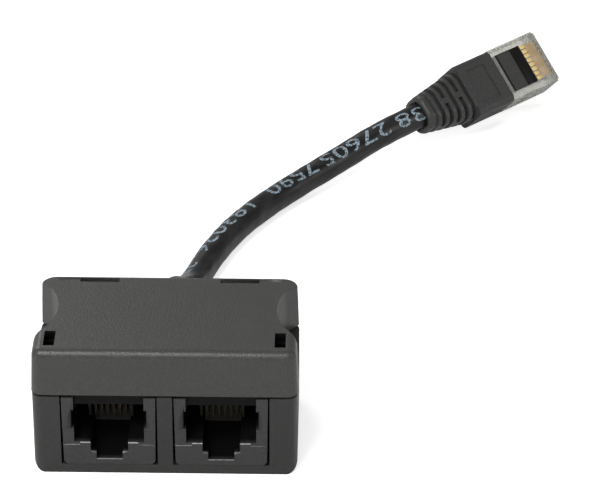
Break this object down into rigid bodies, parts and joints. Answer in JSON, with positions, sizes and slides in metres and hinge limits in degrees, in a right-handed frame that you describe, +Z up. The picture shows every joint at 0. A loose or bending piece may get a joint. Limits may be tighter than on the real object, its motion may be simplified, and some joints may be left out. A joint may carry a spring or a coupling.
{
  "type": "rj45 splitter adapter",
  "caption": "Network socket splitter: a dark two-shell housing with two modular sockets side by side in front and a short round lead from the rear that ends in a latching plug",
  "frame": {"origin": "bottom centre of the housing, on the surface it stands on", "axes": "+Z up, +X to the right across both sockets, the sockets face -Y and the lead leaves towards +Y"},
  "size_m": [0.0966, 0.1417, 0.0242],
  "materials": {
    "housing_plastic": "fine spark-eroded texture",
    "socket_plastic": "smooth moulded",
    "carrier_plastic": "smooth moulded",
    "contact_gold": "gold plated",
    "board_resin": "solder mask",
    "lead_jacket": "extruded gloss",
    "lead_rubber": "moulded",
    "boot_plastic": "satin moulded",
    "clear_plastic": "clear moulded",
    "wire_white": "extruded",
    "wire_orange": "extruded",
    "wire_green": "extruded",
    "wire_blue": "extruded",
    "wire_brown": "extruded"
  },
  "bodies": {
    "root": {"base": "housing_plastic", "cover": "housing_plastic", "left_jack": "socket_plastic", "right_jack": "socket_plastic", "left_carrier": "carrier_plastic", "right_carrier": "carrier_plastic", "left_contact_1": "contact_gold", "left_contact_2": "contact_gold", "left_contact_3": "contact_gold", "left_contact_4": "contact_gold", "left_contact_5": "contact_gold", "left_contact_6": "contact_gold", "left_contact_7": "contact_gold", "left_contact_8": "contact_gold", "right_contact_1": "contact_gold", "right_contact_2": "contact_gold", "right_contact_3": "contact_gold", "right_contact_4": "contact_gold", "right_contact_5": "contact_gold", "right_contact_6": "contact_gold", "right_contact_7": "contact_gold", "right_contact_8": "contact_gold", "circuit_board": "board_resin", "lead_wire_1": "wire_white", "lead_wire_2": "wire_orange", "lead_wire_3": "wire_white", "lead_wire_4": "wire_blue", "lead_wire_5": "wire_white", "lead_wire_6": "wire_green", "lead_wire_7": "wire_white", "lead_wire_8": "wire_brown", "cable_tail": "lead_jacket", "cable_grommet": "lead_rubber", "cable": "lead_jacket", "plug_boot": "boot_plastic", "plug_jacket_end": "lead_jacket", "plug_body": "clear_plastic", "plug_blade_1": "contact_gold", "plug_blade_2": "contact_gold", "plug_blade_3": "contact_gold", "plug_blade_4": "contact_gold", "plug_blade_5": "contact_gold", "plug_blade_6": "contact_gold", "plug_blade_7": "contact_gold", "plug_blade_8": "contact_gold", "plug_wire_1": "wire_white", "plug_wire_2": "wire_orange", "plug_wire_3": "wire_white", "plug_wire_4": "wire_blue", "plug_wire_5": "wire_white", "plug_wire_6": "wire_green", "plug_wire_7": "wire_white", "plug_wire_8": "wire_brown"}
  },
  "joints": []
}
